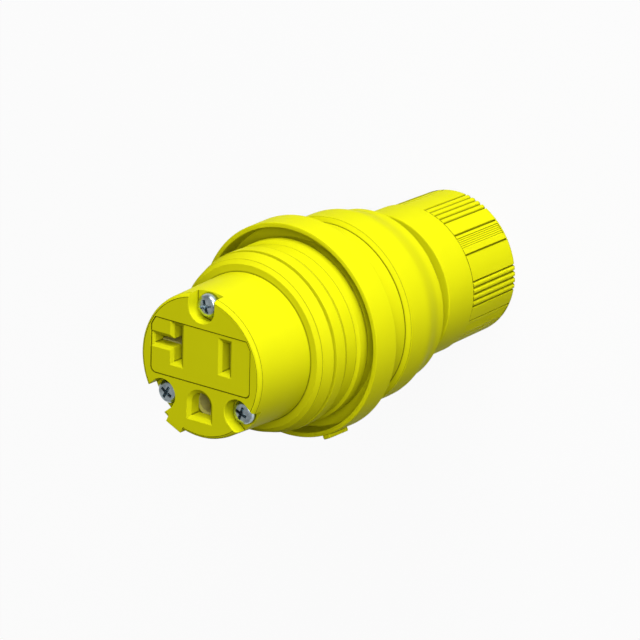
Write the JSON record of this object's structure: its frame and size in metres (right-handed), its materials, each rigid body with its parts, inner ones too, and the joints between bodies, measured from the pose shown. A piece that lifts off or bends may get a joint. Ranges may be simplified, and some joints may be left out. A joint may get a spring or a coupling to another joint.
{
  "type": "watertight straight blade cord connector",
  "caption": "Watertight female cord connector with a straight blade face, ribbed coupling, open skirt and a gripped gland nut that seals round the cord.",
  "frame": {"origin": "centre of the gland nut's rear end, which the part stands on", "axes": "+Z runs out of the mating face along the connector's axis, +X points right and +Y up on the mating face, with the ground opening at the bottom"},
  "size_m": [0.0464, 0.0464, 0.0871],
  "materials": {
    "face_nylon": "satin moulded",
    "holder_nylon": "satin moulded",
    "contact_metal": "stamped",
    "brass_screw": "plain",
    "steel_screw": "plain",
    "ground_screw": "green coated",
    "plate_steel": "stamped",
    "ring_rubber": "matte",
    "coupling_plastic": "satin moulded",
    "housing_plastic": "satin moulded",
    "black_rubber": "matte",
    "nut_plastic": "satin moulded",
    "washer_plastic": "moulded",
    "insert_brass": "knurled"
  },
  "bodies": {
    "root": {"front_insulator": "face_nylon", "contact_holder": "holder_nylon", "line_contact": "contact_metal", "neutral_contact": "contact_metal", "ground_contact": "contact_metal", "line_terminal_screw": "brass_screw", "neutral_terminal_screw": "steel_screw", "ground_terminal_screw": "ground_screw", "line_clamp_plate": "plate_steel", "neutral_clamp_plate": "plate_steel", "ground_clamp_plate": "plate_steel", "seal_ring": "ring_rubber", "coupling_body": "coupling_plastic", "rear_housing": "housing_plastic", "body_o_ring": "black_rubber", "gland_nut": "nut_plastic", "cord_grommet": "black_rubber", "thrust_washer": "washer_plastic", "face_screw_top": "steel_screw", "face_screw_left": "steel_screw", "face_screw_right": "steel_screw", "screw_insert_top": "insert_brass", "screw_insert_left": "insert_brass", "screw_insert_right": "insert_brass"}
  },
  "joints": []
}
